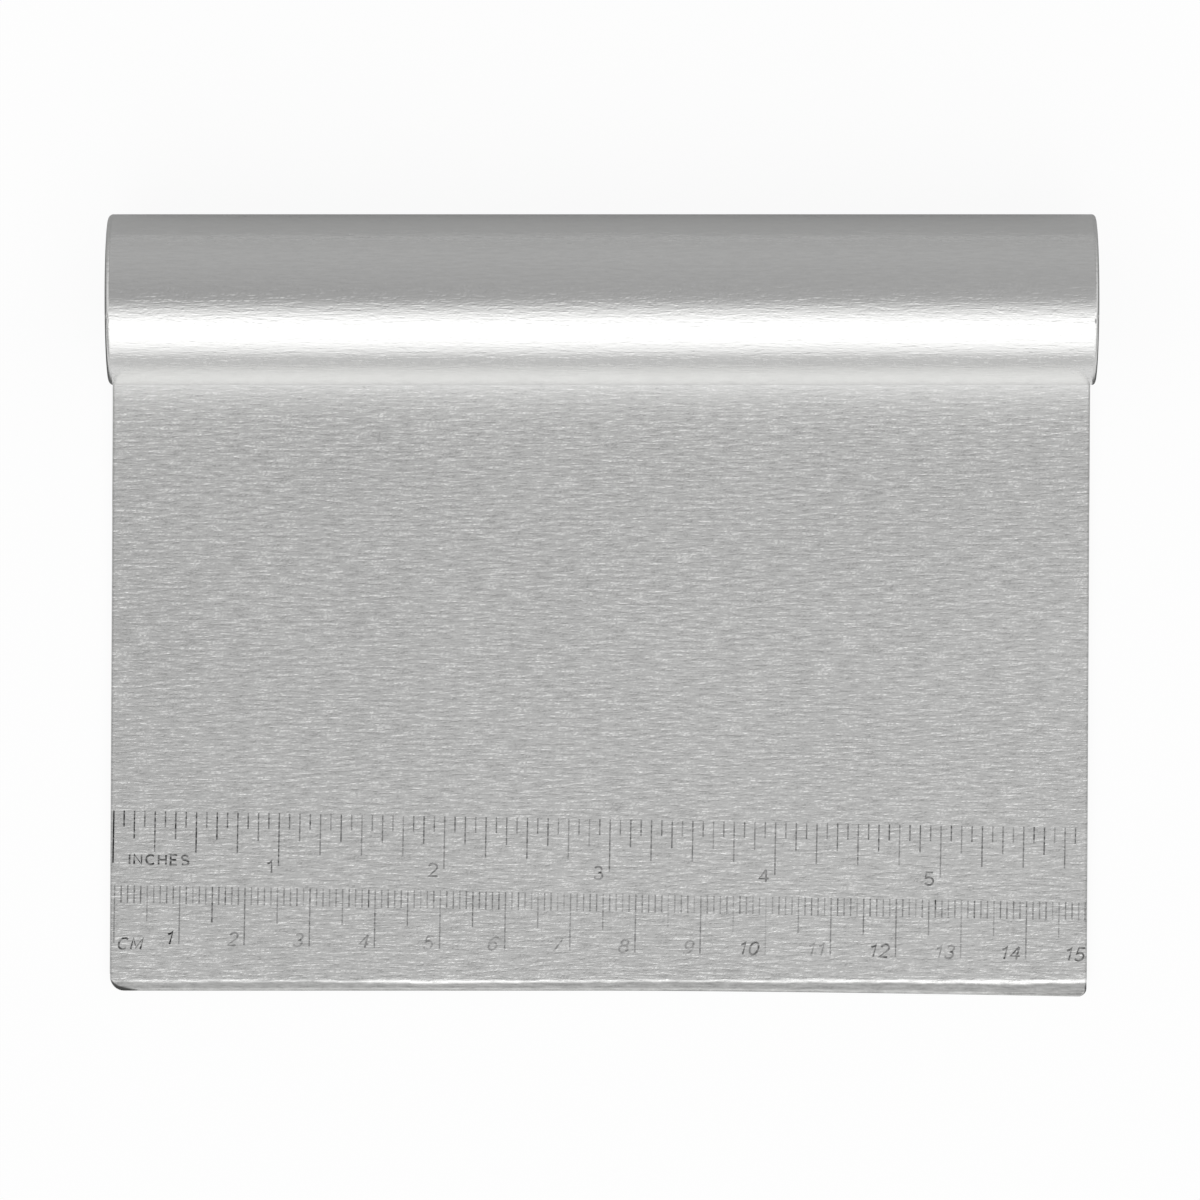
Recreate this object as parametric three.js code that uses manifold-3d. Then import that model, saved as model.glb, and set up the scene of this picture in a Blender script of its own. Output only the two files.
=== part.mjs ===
// A dough scraper: a flat stainless steel blade spot-welded into a rolled tubular handle with closed ends.
// It lies on its back, in millimetres. X runs along the handle, +Y runs from the scraping edge to the handle,
// and +Z rises from the flat back to the face. The origin is on the back, under the middle of the object.
// From the side the handle is a letter P: a roll that ends in a flat rear flange. The top of the blade steps up
// to lie on that flange, and the front lip of the roll closes down on it, where the roll hides the joint.

import * as THREE from "three";
import { mergeVertices } from "three/addons/utils/BufferGeometryUtils.js";
import Module from "manifold-3d";

// Driving dimensions of the whole tool
const overallDepth = 119; // from the scraping edge to the far side of the handle
const clearance = 0.3; // between pieces that fit together

// Driving dimensions of the blade
const bladeWidth = 150;
const bladeGauge = 1.2;
const bladeCornerRadius = 1.4;
const bevelWidth = 1.3;
const edgeLand = 0.12; // thickness left at the scraping edge
const joggleRun = 1.5; // length in which the sheet steps up to its tang

// Driving dimensions of the handle
const handleDiameter = 26;
const handleWall = 0.8;
const handleOverhang = 0.3; // closed handle past each side of the blade
const flangePastLip = 0.6; // rear flange past the front lip

// Driving dimensions of the end caps
const capPlate = 0.8;
const capRimRadius = 0.7;
const capSeam = 0.1; // open seam between a cap and the end of the tube
const capBossDepth = 1.5; // the step that centres a cap in the tube

// Driving dimensions of the spot welds
const weldCount = 5;
const weldDiameter = 4.5;
const weldSideInset = 12; // outer weld centres from the sides of the tang

// Fineness of the round shapes
const handleSegments = 72;
const cornerSegments = 6;
const capSegments = 48;
const rimSegments = 4;
const weldSegments = 24;
const cutMargin = 1; // how far a cutting shape runs past what it cuts

// The handle's place, and the lap joint inside it
const handleRadius = handleDiameter / 2;
const edgeY = -overallDepth / 2;
const axisY = overallDepth / 2 - handleRadius;
const tubeLength = bladeWidth + 2 * (handleOverhang - capPlate - capSeam);
const tangBackZ = handleWall + clearance;
const tangFrontZ = tangBackZ + bladeGauge;
const lipZ = tangFrontZ + clearance;
const lipAngle = Math.acos(1 - lipZ / handleRadius); // from the rear of the roll round to the lip
const flangeLength = handleRadius * Math.sin(lipAngle) + flangePastLip;

// The step in the blade: its back face turns at foot and top, its front face a little lower down
const joggleTopY = axisY - flangeLength - clearance;
const joggleFootY = joggleTopY - joggleRun;
const bendShift = bladeGauge * Math.tan(Math.atan2(tangBackZ, joggleRun) / 2);
const tangWidth = Math.min(bladeWidth, tubeLength) - 2 * clearance;

const wasm = await Module();
wasm.setup();

/** A closed three.js geometry as a solid that can be joined and cut. */
function solidOf(geometry) {
  const bare = geometry.clone();
  bare.deleteAttribute("normal");
  bare.deleteAttribute("uv");
  const merged = mergeVertices(bare);
  const corners = merged.index.array;
  const triangles = [];
  for (let i = 0; i < corners.length; i += 3) {
    const [a, b, c] = corners.slice(i, i + 3);
    if (a !== b && b !== c && c !== a) {
      triangles.push(a, b, c);
    }
  }
  const mesh = new wasm.Mesh({
    numProp: 3,
    vertProperties: new Float32Array(merged.attributes.position.array),
    triVerts: new Uint32Array(triangles),
  });
  return new wasm.Manifold(mesh);
}

/** A solid as a three.js geometry. */
function geometryOf(solid) {
  const mesh = solid.getMesh();
  const geometry = new THREE.BufferGeometry();
  geometry.setAttribute("position", new THREE.BufferAttribute(mesh.vertProperties, 3));
  geometry.setIndex(new THREE.BufferAttribute(mesh.triVerts, 1));
  geometry.computeVertexNormals();
  return geometry;
}

/** A side profile, drawn with Y to the right and Z up, carried along X over a length centred on the origin. */
function alongHandle(profile, length, curveSegments) {
  const geometry = new THREE.ExtrudeGeometry(profile, { depth: length, bevelEnabled: false, curveSegments });
  const yzx = new THREE.Matrix4().makeBasis(
    new THREE.Vector3(0, 1, 0),
    new THREE.Vector3(0, 0, 1),
    new THREE.Vector3(1, 0, 0),
  );
  geometry.applyMatrix4(yzx);
  geometry.translate(-length / 2, 0, 0);
  return geometry;
}

/** The blade from the side: bevelled edge, flat sheet, step and tang. */
function bladeProfile() {
  const profile = new THREE.Shape();
  profile.moveTo(edgeY, 0);
  profile.lineTo(joggleFootY, 0);
  profile.lineTo(joggleTopY, tangBackZ);
  profile.lineTo(axisY, tangBackZ);
  profile.lineTo(axisY, tangFrontZ);
  profile.lineTo(joggleTopY - bendShift, tangFrontZ);
  profile.lineTo(joggleFootY - bendShift, bladeGauge);
  profile.lineTo(edgeY + bevelWidth, bladeGauge);
  profile.lineTo(edgeY, edgeLand);
  profile.closePath();
  return profile;
}

/** The blade from the front: rounded lower corners, and a tang narrow enough to pass between the end caps. */
function bladeOutline() {
  const side = bladeWidth / 2;
  const tangSide = tangWidth / 2;
  const shoulderY = joggleTopY - bendShift;
  const topY = axisY + cutMargin;
  const radius = bladeCornerRadius;
  const outline = new THREE.Shape();
  outline.moveTo(-side + radius, edgeY);
  outline.lineTo(side - radius, edgeY);
  outline.absarc(side - radius, edgeY + radius, radius, -Math.PI / 2, 0, false);
  outline.lineTo(side, shoulderY);
  outline.lineTo(tangSide, shoulderY);
  outline.lineTo(tangSide, topY);
  outline.lineTo(-tangSide, topY);
  outline.lineTo(-tangSide, shoulderY);
  outline.lineTo(-side, shoulderY);
  outline.lineTo(-side, edgeY + radius);
  outline.absarc(-side + radius, edgeY + radius, radius, Math.PI, 1.5 * Math.PI, false);
  return outline;
}

function bladeGeometry() {
  const sheet = alongHandle(bladeProfile(), bladeWidth + 2 * cutMargin, 1);
  const cutter = new THREE.ExtrudeGeometry(bladeOutline(), {
    depth: tangFrontZ + 2 * cutMargin,
    bevelEnabled: false,
    curveSegments: cornerSegments,
  });
  cutter.translate(0, 0, -cutMargin);
  return geometryOf(solidOf(sheet).intersect(solidOf(cutter)));
}

/** The handle from the side: flange, roll round the back, top and front, lip, and the inside back again. */
function handleProfile() {
  const rearAngle = -Math.PI / 2;
  const frontAngle = 1.5 * Math.PI - lipAngle;
  const profile = new THREE.Shape();
  profile.moveTo(axisY - flangeLength, 0);
  profile.lineTo(axisY, 0);
  profile.absarc(axisY, handleRadius, handleRadius, rearAngle, frontAngle, false);
  profile.absarc(axisY, handleRadius, handleRadius - handleWall, frontAngle, rearAngle, true);
  profile.lineTo(axisY - flangeLength, handleWall);
  profile.closePath();
  return profile;
}

/** An end cap about its own axis: boss at negative X, plate from X = 0, and a flat on the boss over the tang. */
function endCapGeometry() {
  const bossRadius = handleRadius - handleWall - clearance;
  const rim = Math.min(capRimRadius, capPlate);
  const half = new THREE.Path();
  half.moveTo(0, -capBossDepth);
  half.lineTo(bossRadius, -capBossDepth);
  half.lineTo(bossRadius, 0);
  half.lineTo(handleRadius, 0);
  half.lineTo(handleRadius, capPlate - rim);
  half.absarc(handleRadius - rim, capPlate - rim, rim, 0, Math.PI / 2, false);
  half.lineTo(0, capPlate);
  const turned = new THREE.LatheGeometry(half.getPoints(rimSegments), capSegments);
  const axisToX = new THREE.Matrix4().makeBasis(
    new THREE.Vector3(0, 1, 0),
    new THREE.Vector3(1, 0, 0),
    new THREE.Vector3(0, 0, -1),
  );
  turned.applyMatrix4(axisToX);
  const flatDepth = lipZ;
  const flat = new THREE.BoxGeometry(capBossDepth + cutMargin, handleDiameter, flatDepth);
  flat.translate(-(capBossDepth + cutMargin) / 2, 0, flatDepth / 2 - handleRadius);
  return geometryOf(solidOf(turned).subtract(solidOf(flat)));
}

const brushedSteel = { color: 0xb6b5b3, metalness: 1, roughness: 0.34 };
const weldSteel = { color: 0x8f8c88, metalness: 1, roughness: 0.5 };

function piece(name, geometry, finish) {
  const mesh = new THREE.Mesh(geometry, new THREE.MeshStandardMaterial(finish));
  mesh.name = name;
  return mesh;
}

function endCaps() {
  const geometry = endCapGeometry();
  const caps = new THREE.Group();
  caps.position.set(0, axisY, handleRadius);
  const reach = tubeLength / 2 + capSeam;
  const left = piece("left_end_cap", geometry, brushedSteel);
  left.rotation.z = Math.PI;
  left.position.x = -reach;
  const right = piece("right_end_cap", geometry, brushedSteel);
  right.position.x = reach;
  caps.add(left, right);
  return caps;
}

/** A row of weld nuggets that fill the gap between the flange and the tang. */
function spotWelds() {
  const welds = new THREE.Group();
  welds.position.set(0, axisY - flangeLength / 2, handleWall + clearance / 2);
  const firstX = weldSideInset - tangWidth / 2;
  const pitch = (-2 * firstX) / (weldCount - 1);
  for (let i = 0; i < weldCount; i += 1) {
    const nugget = new THREE.CylinderGeometry(weldDiameter / 2, weldDiameter / 2, clearance, weldSegments);
    nugget.rotateX(Math.PI / 2);
    const weld = piece(`spot_weld_${i + 1}`, nugget, weldSteel);
    weld.position.x = firstX + i * pitch;
    welds.add(weld);
  }
  return welds;
}

const scraper = new THREE.Group();
scraper.add(
  piece("blade", bladeGeometry(), brushedSteel),
  piece("handle_tube", alongHandle(handleProfile(), tubeLength, handleSegments), brushedSteel),
  endCaps(),
  spotWelds(),
);

export default scraper;
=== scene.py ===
# %% [markdown]
# # A dough scraper in brushed steel
# The real tool is two pieces of stainless sheet. One is a flat blade with a ground edge. The
# other is a strip rolled into a tube for the hand, with a flat flange that the blade is
# spot-welded to. Two small discs close the ends of the tube.
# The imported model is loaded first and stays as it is. It says where every piece of metal
# goes, so only the etched scales and the camera are placed by numbers of their own.

# %% The frame
import math

import bpy
import numpy as np
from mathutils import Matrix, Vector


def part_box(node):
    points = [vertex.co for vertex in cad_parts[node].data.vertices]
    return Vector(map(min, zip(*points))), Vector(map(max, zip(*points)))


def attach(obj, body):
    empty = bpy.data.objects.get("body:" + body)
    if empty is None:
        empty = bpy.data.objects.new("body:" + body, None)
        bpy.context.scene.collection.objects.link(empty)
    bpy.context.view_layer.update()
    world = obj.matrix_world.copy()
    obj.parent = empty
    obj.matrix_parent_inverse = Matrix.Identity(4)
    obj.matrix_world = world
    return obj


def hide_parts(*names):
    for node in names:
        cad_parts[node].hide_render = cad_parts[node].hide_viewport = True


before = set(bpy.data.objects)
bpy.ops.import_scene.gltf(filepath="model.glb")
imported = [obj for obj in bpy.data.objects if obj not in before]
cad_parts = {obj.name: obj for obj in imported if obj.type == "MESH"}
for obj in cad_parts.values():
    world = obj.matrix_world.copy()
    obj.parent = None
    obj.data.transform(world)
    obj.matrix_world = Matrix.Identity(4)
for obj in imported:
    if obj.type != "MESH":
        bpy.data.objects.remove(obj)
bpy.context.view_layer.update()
print("nodes:", ", ".join(sorted(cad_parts)))

# %% [markdown]
# ## Sizes
# The places of the sides, the edge and the tube's axis are read from the boxes of the packed
# nodes. A box can't tell how thick a sheet is or how steep its bevel, so those few sizes are
# named in millimetres, here or where they are first needed.

# %% Sizes read from the frame
MM = 0.001
blade_low, blade_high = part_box("blade")
tube_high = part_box("handle_tube")[1]
cap_low, cap_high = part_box("right_end_cap")

side_x = blade_high.x
edge_y = blade_low.y
axis_y = blade_high.y
tang_front = blade_high.z
tube_radius = tube_high.z / 2
axis_z = tube_radius
tube_end = tube_high.x

BLADE_GAUGE = 1.2 * MM
TUBE_GAUGE = 0.8 * MM
CLEARANCE = 0.3 * MM
tang_back = tang_front - BLADE_GAUGE
lip_z = tang_front + CLEARANCE
lip_angle = math.acos(1 - lip_z / tube_radius)
FLANGE_PAST_LIP = 0.6 * MM
flange_length = tube_radius * math.sin(lip_angle) + FLANGE_PAST_LIP
step_top_y = axis_y - flange_length - CLEARANCE
print("blade %.1f mm wide, tube %.1f mm round" % (2 * side_x / MM, 2 * tube_radius / MM))

# %% [markdown]
# ## A closed solid between two grids
# Sheet metal has a front and a back that run side by side. Each is a grid of points worked
# out by a formula, and the two grids are joined round their rim. A Solidify modifier would do
# nearly the same, but here the back can differ from the front, which a bevel needs.
# The UV map is in metres: U runs across the brush lines and V along them, so one steel
# finish fits every piece.

# %% Mesh helpers
SHARP_EDGE = math.radians(38)


def slab(front, back):
    """Points and quads of the solid between two grids of one shape: the cells of the front, the
    cells of the back turned over, and a wall from each rim point to the one below it."""
    rows, columns = front.shape[:2]
    index = np.arange(rows * columns).reshape(rows, columns)
    corners = [index[:-1, :-1], index[:-1, 1:], index[1:, 1:], index[1:, :-1]]
    cells = np.stack(corners, axis=-1).reshape(-1, 4)
    rim = np.concatenate([index[0, :-1], index[:-1, -1], index[-1, :0:-1], index[:0:-1, 0]])
    after = np.roll(rim, -1)
    under = rows * columns
    wall = np.stack([after, rim, rim + under, after + under], axis=-1)
    points = np.concatenate([front.reshape(-1, 3), back.reshape(-1, 3)])
    return points, [np.concatenate([cells, cells[:, ::-1] + under, wall])]


def new_piece(name, points, face_groups, uv_groups):
    """A mesh object at the origin. Each face group is an array with one face a row, and its UV
    group has one UV for each corner of those faces."""
    mesh = bpy.data.meshes.new(name)
    corners = np.concatenate([group.ravel() for group in face_groups])
    sizes = np.concatenate([np.full(len(group), group.shape[1]) for group in face_groups])
    mesh.vertices.add(len(points))
    mesh.vertices.foreach_set("co", points.astype(np.float32).ravel())
    mesh.loops.add(len(corners))
    mesh.loops.foreach_set("vertex_index", corners.astype(np.int32))
    mesh.polygons.add(len(sizes))
    starts = np.concatenate([[0], np.cumsum(sizes)[:-1]])
    mesh.polygons.foreach_set("loop_start", starts.astype(np.int32))
    mesh.update(calc_edges=True)
    uv = np.concatenate([group.reshape(-1, 2) for group in uv_groups])
    mesh.uv_layers.new(name="brush").data.foreach_set("uv", uv.astype(np.float32).ravel())
    mesh.polygons.foreach_set("use_smooth", np.ones(len(sizes), bool))
    mesh.set_sharp_from_angle(angle=SHARP_EDGE)
    piece = bpy.data.objects.new(name, mesh)
    bpy.context.scene.collection.objects.link(piece)
    print("%s: %d points, %d faces" % (name, len(points), len(sizes)))
    return piece


print("edges over %.0f degrees stay sharp" % math.degrees(SHARP_EDGE))

# %% [markdown]
# ## The blade
# The blade is one stamped sheet. Its lower corners are nipped round, a grinder has cut the
# bevel along the scraping edge, and near the handle the sheet steps up by its own thickness
# to lie on the flange. It was welded a little askew, and the grinder took more off on the left.
# A cube with bevels would have a straight, even edge. Seen from above the blade is a height
# over a flat outline, so two grids of heights make it, with the rows packed close where the
# height changes.

# %% The blade's outline and rows
# Pairs are for the left side and the right side.
CORNER_RADII = np.array([2.2, 1.3]) * MM
BEVEL_WIDTHS = np.array([1.65, 1.79]) * MM
EDGE_LAND = 0.12 * MM
EDGE_SAG = 0.92 * MM
EDGE_TRIM = 0.27 * MM
LEAN = math.tan(math.radians(0.307))
STEP_RUN = 1.5 * MM
step_foot_y = step_top_y - STEP_RUN
front_shift = BLADE_GAUGE * math.tan(math.atan(tang_back / STEP_RUN) / 2)
shoulder_y = step_top_y - front_shift
tang_side = tube_end - CLEARANCE

BEVEL_ZONE = 3.6 * MM
PRESS_ZONE = 16 * MM
BEND_ZONE = 2 * MM
NOTCH_RUN = 0.05 * MM
# Each band of rows: where it starts, where it ends, and how many rows it has.
row_bands = [
    (edge_y, edge_y + BEVEL_ZONE, 45),
    (edge_y + BEVEL_ZONE, step_foot_y - PRESS_ZONE, 13),
    (step_foot_y - PRESS_ZONE, step_foot_y - BEND_ZONE, 21),
    (step_foot_y - BEND_ZONE, shoulder_y, 24),
    (shoulder_y, shoulder_y + NOTCH_RUN, 1),
    (shoulder_y + NOTCH_RUN, step_top_y + BEND_ZONE, 12),
    (step_top_y + BEND_ZONE, axis_y, 5),
]
row_y = [np.linspace(low, high, rows, endpoint=False) for low, high, rows in row_bands]
row_y = np.concatenate(row_y + [[axis_y]])
CORNER_STEPS = 17
MIDDLE_COLUMNS = 340
turn = np.linspace(0, math.pi / 2, CORNER_STEPS)
corner_x = side_x - CORNER_RADII[:, None] * (1 - np.sin(turn))
middle_x = np.linspace(-corner_x[0, 0], corner_x[1, 0], MIDDLE_COLUMNS)
column_x = np.concatenate([-corner_x[0, ::-1], middle_x[1:-1], corner_x[1]])
print("blade grid: %d rows, %d columns" % (len(row_y), len(column_x)))

# %% The blade's heights
SHOULDER_SOFT = 0.38 * MM
PRESS_RISE = 0.8 * MM
PRESS_RUN = 3.5 * MM
BEND_SOFT = 0.7 * MM
SIDE_ARRIS = 0.15 * MM
BACK_ARRIS = 0.12 * MM
WAVE_LENGTHS = np.array([31.0, 13.0, 7.1, 3.7, 2.3]) * MM
WAVE_HEIGHTS = np.array([0.05, 0.035, 0.03, 0.022, 0.016]) * MM
WAVE_SEED = 5


def soft_ramp(distance, half_width):
    """Zero before the corner and the distance itself after it, with a parabola between."""
    near = np.clip(distance + half_width, 0, 2 * half_width)
    return near ** 2 / (4 * half_width) + np.maximum(distance - half_width, 0)


def step_height(y, foot, top):
    """The rise from the face to the tang: one soft ramp starts it and another one ends it. In
    front of it the press has bent the sheet a little too, less and less with distance."""
    rise = (soft_ramp(y - foot, BEND_SOFT) - soft_ramp(y - top, BEND_SOFT)) / (top - foot)
    press = PRESS_RISE * np.exp(np.minimum(y - foot, 0) / PRESS_RUN)
    return tang_back * rise + press * (1 - rise)


def rounded_drop(distance, radius):
    """How far a quarter circle of this radius lies below the face, near a side."""
    short = np.clip(1 - distance / radius, 0, 1)
    return radius * (1 - np.sqrt(1 - short ** 2))


def hand_ground_wave(x):
    """The bevel's shoulder wanders a little, because it was ground by hand: a sum of sines."""
    phases = np.random.default_rng(WAVE_SEED).uniform(0, 2 * math.pi, len(WAVE_LENGTHS))
    turns = 2 * math.pi * x[..., None] / WAVE_LENGTHS + phases
    return (WAVE_HEIGHTS * np.sin(turns)).sum(axis=-1)


print("the step to the tang is %.2f mm high" % (tang_back / MM))

# %% The blade's plan
SAG_BEND = 1.55
SAG_FADE = 6
corner_radius = np.where(column_x < 0, *CORNER_RADII)
over = np.maximum(np.abs(column_x) - (side_x - corner_radius), 0)
rounding = corner_radius - np.sqrt(np.maximum(corner_radius ** 2 - over ** 2, 0))
share_up = (row_y - edge_y) / (axis_y - edge_y)
sag = EDGE_SAG * np.clip(column_x / side_x, 0, 1) ** SAG_BEND - EDGE_TRIM
plan_y = row_y[:, None] + (rounding - sag) * (1 - share_up[:, None]) ** SAG_FADE
narrow = 1 - (1 - tang_side / side_x) * np.clip((plan_y - shoulder_y) / NOTCH_RUN, 0, 1)
plan_x = column_x[None, :] * narrow

corner_y = edge_y - sag + corner_radius
to_corner = np.hypot(over, np.minimum(plan_y - corner_y, 0))
to_side = np.where(plan_y < corner_y, corner_radius - to_corner, side_x - np.abs(column_x))
to_side = np.maximum(to_side, 0)
print("edge %.2f mm lower on the right" % (EDGE_SAG / MM))

# %% The blade's mesh
# Each sanded corner, also painted dark as painted shade: its place across the blade and above
# the edge, its width and its reach.
SANDED_CORNERS = [
    (1.7 * MM - side_x, 0.6 * MM, 0.8 * MM, 3.0 * MM),
    (side_x - 0.2 * MM, 0.8 * MM, 0.3 * MM, 1.4 * MM),
]
SANDED_OFF = 0.8
SOFT_WAVE = 5 / MM
THINNEST_EDGE = 0.5 * EDGE_LAND
FRONT_ROUNDED = 0.5
BACK_ROUNDED = 0.3
TINY = 1e-9


def sanded_corner(x, y, width, reach):
    """A share that is one on the outline and falls to nothing at the width. The width is full
    at the place x, y and shrinks with distance, to nothing at the reach."""
    here = width * np.clip(1 - np.hypot(plan_x - x, plan_y - y) / reach, 0, 1)
    return np.clip(1 - to_side / np.maximum(here, TINY), 0, 1)


shoulder_line = np.interp(plan_x, [-side_x, side_x], edge_y + BEVEL_WIDTHS)
shoulder_line = shoulder_line + hand_ground_wave(plan_x)
bevel_slope = (BLADE_GAUGE - EDGE_LAND) / (shoulder_line - edge_y)
to_shoulder = shoulder_line - plan_y
shoulder_soft = SHOULDER_SOFT * (1 + SOFT_WAVE * hand_ground_wave(plan_x + side_x))
face = BLADE_GAUGE - bevel_slope * soft_ramp(to_shoulder, shoulder_soft)
face = np.maximum(face, THINNEST_EDGE)
sanded = [sanded_corner(x, edge_y + up, width, reach) for x, up, width, reach in SANDED_CORNERS]
sanded = np.max(sanded, axis=0)
face = face * (1 - SANDED_OFF * sanded)
drop = np.minimum(rounded_drop(to_side, SIDE_ARRIS), FRONT_ROUNDED * face)
front_z = face - drop + step_height(plan_y, step_foot_y - front_shift, shoulder_y)
lift = np.minimum(rounded_drop(to_side, BACK_ARRIS), BACK_ROUNDED * face)
back_z = lift + step_height(plan_y, step_foot_y, step_top_y)

leaning_x = plan_x - LEAN * (axis_y - plan_y)
blade_front = np.stack([leaning_x, plan_y, front_z], axis=-1)
blade_back = np.stack([leaning_x, plan_y, back_z], axis=-1)
points, faces = slab(blade_front, blade_back)
blade_sheet = new_piece("blade_sheet", points, faces, [points[:, [1, 0]][faces[0]]])
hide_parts("blade")
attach(blade_sheet, "root")

# %% [markdown]
# ## Where the blade's finish and its painted light change
# The grinder, the file and the press each left their own finish, and some light and shade is
# painted into the colour as well. Three shares, kept as point attributes, say where. The first
# is the bevel: a coarser grind, painted darker as painted shade, and painted lighter along the
# very edge as a painted highlight. The second is painted shade: a dark line along the sides that
# the shear cut, and on the sanded corners. The third is the strip by the handle where the press
# pad has flattened the brush lines, and there the colour is painted lighter as painted bounce
# light from the tube. They could be painted by hand on the mesh, but a formula says exactly
# where each tool went.

# %% The blade's shares
# How far the grinding runs over the shoulder, at places from the left side to the right.
GRIND_PLACES = [-1, -0.55, -0.3, 0, 0.4, 0.8]
GRIND_OVER = [0.6, 0.6, -0.3, 0.6, 0.2, -0.5]
# The bevel's colour is painted darker as painted shade, and lighter again near the very edge as a
# painted highlight.
EDGE_GROUND = 0.1
EDGE_HIGHLIGHT_RUN = 0.6 * MM
# A thin line along each side and the sanded corners are painted dark as painted shade.
EDGE_SHADE_GAIN = 3
SHEARED_WIDTH = 0.4 * MM
SIDE_SHADE_DARK = 0.5
PAD_REACH = 8 * MM
PAD_FADE = 5.7 * MM
ground_from = np.interp(plan_x / side_x, GRIND_PLACES, GRIND_OVER) * SHOULDER_SOFT
ground_and_shade_share = np.clip((to_shoulder + ground_from) / SHOULDER_SOFT, 0, 1)
ground_and_shade_share = ground_and_shade_share * np.clip(EDGE_GROUND + (plan_y - plan_y[0]) / EDGE_HIGHLIGHT_RUN, 0, 1)
side_shade = SIDE_SHADE_DARK * np.clip(1 - to_side / SHEARED_WIDTH, 0, 1)
edge_shade_share = np.maximum(np.clip(EDGE_SHADE_GAIN * sanded, 0, 1), side_shade)
# The strip by the handle: the press flattened its grooves, and its colour is painted lighter as
# bounce light from the tube.
pressed_and_lit_share = np.clip((plan_y - step_foot_y + PAD_REACH) / PAD_FADE, 0, 1)
for name, share in (("ground_and_shade", ground_and_shade_share), ("edge_shade", edge_shade_share), ("pressed_and_lit", pressed_and_lit_share)):
    values = np.concatenate([share.ravel(), np.zeros(share.size)]).astype(np.float32)
    attribute = blade_sheet.data.attributes.new(name, "FLOAT", "POINT")
    attribute.data.foreach_set("value", values)
    print("%s on %.1f %% of the blade's points" % (name, 100 * (values > 0).mean()))

# %% [markdown]
# ## The handle
# The handle is a strip rolled on a mandrel into the shape of a P: a flat flange first, then
# nearly a whole turn, ending in a lip that stops just over the blade. That is a line carried
# along the tube, thickened by the sheet's gauge. A primitive tube would have neither the
# flange nor the open seam, which show from the front edge and from behind.

# %% The handle's path
ARC_POINTS = 150
FLANGE_POINTS = 10
EDGE_ROUND = 0.25 * MM
EDGE_SHARES = np.array([0, 0.04, 0.15, 0.35, 0.65, 1])
edge_steps = EDGE_ROUND * EDGE_SHARES
middle_radius = tube_radius - TUBE_GAUGE / 2
arc_length = middle_radius * (2 * math.pi - lip_angle)
path_length = flange_length + arc_length
path_s = np.concatenate([
    edge_steps,
    np.linspace(2 * EDGE_ROUND, flange_length, FLANGE_POINTS),
    flange_length + np.linspace(0, arc_length - 2 * EDGE_ROUND, ARC_POINTS)[1:],
    path_length - edge_steps[::-1],
])
print("strip %.1f mm from flange to lip" % (path_length / MM))

# %% The handle's mesh
TUBE_COLUMNS = 48
turn = np.maximum(path_s - flange_length, 0) / middle_radius
along_flange = np.minimum(path_s, flange_length)
out_y = np.sin(turn)
out_z = -np.cos(turn)
middle_y = axis_y - flange_length + along_flange + middle_radius * out_y
middle_z = axis_z + middle_radius * out_z
tube_x = np.linspace(-tube_end, tube_end, TUBE_COLUMNS)
# Half the gauge, which rounds off like a circle at both edges of the strip.
half = TUBE_GAUGE / 2 - rounded_drop(np.minimum(path_s, path_length - path_s), EDGE_ROUND)
half = np.broadcast_to(half, (TUBE_COLUMNS, len(path_s)))
whole_x = np.broadcast_to(tube_x[:, None], half.shape)
outside = np.stack([whole_x, middle_y + half * out_y, middle_z + half * out_z], axis=-1)
inside = np.stack([whole_x, middle_y - half * out_y, middle_z - half * out_z], axis=-1)
points, faces = slab(outside, inside)
strip_uv = np.stack([np.broadcast_to(path_s, half.shape), whole_x], axis=-1).reshape(-1, 2)
strip_uv = np.concatenate([strip_uv, strip_uv])
handle_roll = new_piece("handle_roll", points, faces, [strip_uv[faces[0]]])
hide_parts("handle_tube")
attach(handle_roll, "root")

# %% [markdown]
# ## The end caps
# Each end of the tube is closed by a disc with a plug that sits in the bore. The disc is
# welded on and ground flush, so no seam shows. What is left is a small round edge, a little
# different on each side, with a nick where the weld ended. A bevelled cylinder would have the
# same rim all round. Here a profile is turned round the axis, and the nick is a dip of its
# radius over a few degrees. The plug has a flat along its lower side, where the flange and the
# blade pass under it.

# %% The cap's profile
RIM_RADII = {"left": 0.78 * MM, "right": 0.55 * MM}
CAP_CROWN = 0.22 * MM
BORE_CLEARANCE = 0.3 * MM
FACE_RINGS = 10
RIM_RINGS = 8
cap_face = cap_high.x
cap_inner = cap_low.x
boss_radius = tube_radius - TUBE_GAUGE - BORE_CLEARANCE


def cap_profile(rim):
    """Radius and place along the axis, from the middle of the face over the round rim to the
    plug: a slightly crowned disc, a quarter circle, the seat on the tube's end, the plug."""
    face_radius = np.linspace(0, tube_radius - rim, FACE_RINGS)
    crown = CAP_CROWN * (1 - (face_radius / face_radius[-1]) ** 2)
    turn = np.linspace(0, math.pi / 2, RIM_RINGS + 1)[1:]
    face_along = cap_face - CAP_CROWN + crown
    rim_radius = tube_radius - rim + rim * np.sin(turn)
    rim_along = cap_face - CAP_CROWN - rim + rim * np.cos(turn)
    plug_radius = [tube_radius, boss_radius, boss_radius, 0]
    plug_along = [tube_end, tube_end, cap_inner, cap_inner]
    radius = np.concatenate([face_radius, rim_radius, plug_radius])
    return radius, np.concatenate([face_along, rim_along, plug_along])


print("plug %.1f mm round" % (2 * boss_radius / MM))

# %% The caps' meshes
CAP_TURNS = 288
PLUG_RINGS = 2
NICK_ANGLE = math.radians(104.5)
NICK_WIDTH = 0.4 * MM
NICK_DEPTH = 0.3 * MM


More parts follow.
